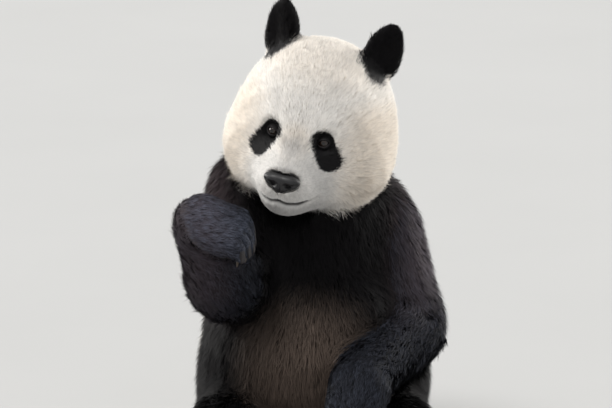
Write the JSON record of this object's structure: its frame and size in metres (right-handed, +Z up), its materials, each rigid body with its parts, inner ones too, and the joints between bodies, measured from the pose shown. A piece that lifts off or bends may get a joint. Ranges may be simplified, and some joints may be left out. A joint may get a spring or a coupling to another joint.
{
  "type": "giant panda figure",
  "caption": "Life-size still model of an adult giant panda sitting upright, one forepaw raised to its mouth and the other in its lap.",
  "frame": {"origin": "on the floor, on the flat under the rump", "axes": "+Z up, -Y the way the panda faces, +X its own left side"},
  "size_m": [0.5428, 0.9213, 0.9142],
  "materials": {
    "coat_white": "matte cream fur",
    "coat_black": "black fur with a soft brown and blue sheen",
    "nose_leather": "moist pebbled black skin",
    "eye_gloss": "wet dark brown",
    "claw_horn": "smooth dark horn"
  },
  "bodies": {
    "root": {"claw_fore_left_1": "claw_horn", "claw_fore_left_2": "claw_horn", "claw_fore_left_3": "claw_horn", "claw_fore_left_4": "claw_horn", "claw_fore_left_5": "claw_horn", "claw_hind_left_1": "claw_horn", "claw_hind_left_2": "claw_horn", "claw_hind_left_3": "claw_horn", "claw_hind_left_4": "claw_horn", "claw_hind_left_5": "claw_horn", "claw_fore_right_1": "claw_horn", "claw_fore_right_2": "claw_horn", "claw_fore_right_3": "claw_horn", "claw_fore_right_4": "claw_horn", "claw_fore_right_5": "claw_horn", "claw_hind_right_1": "claw_horn", "claw_hind_right_2": "claw_horn", "claw_hind_right_3": "claw_horn", "claw_hind_right_4": "claw_horn", "claw_hind_right_5": "claw_horn", "nose": "nose_leather", "eye_left": "eye_gloss", "eye_right": "eye_gloss", "ear_left": "coat_black", "ear_right": "coat_black", "head": "coat_white", "forepaw_left": "coat_black", "forearm_left": "coat_black", "upper_arm_left": "coat_black", "forepaw_right": "coat_black", "forearm_right": "coat_black", "upper_arm_right": "coat_black", "hind_paw_left": "coat_black", "shin_left": "coat_black", "thigh_left": "coat_black", "hind_paw_right": "coat_black", "shin_right": "coat_black", "thigh_right": "coat_black", "tail": "coat_white", "neck": "coat_white", "trunk": "coat_white"}
  },
  "joints": []
}
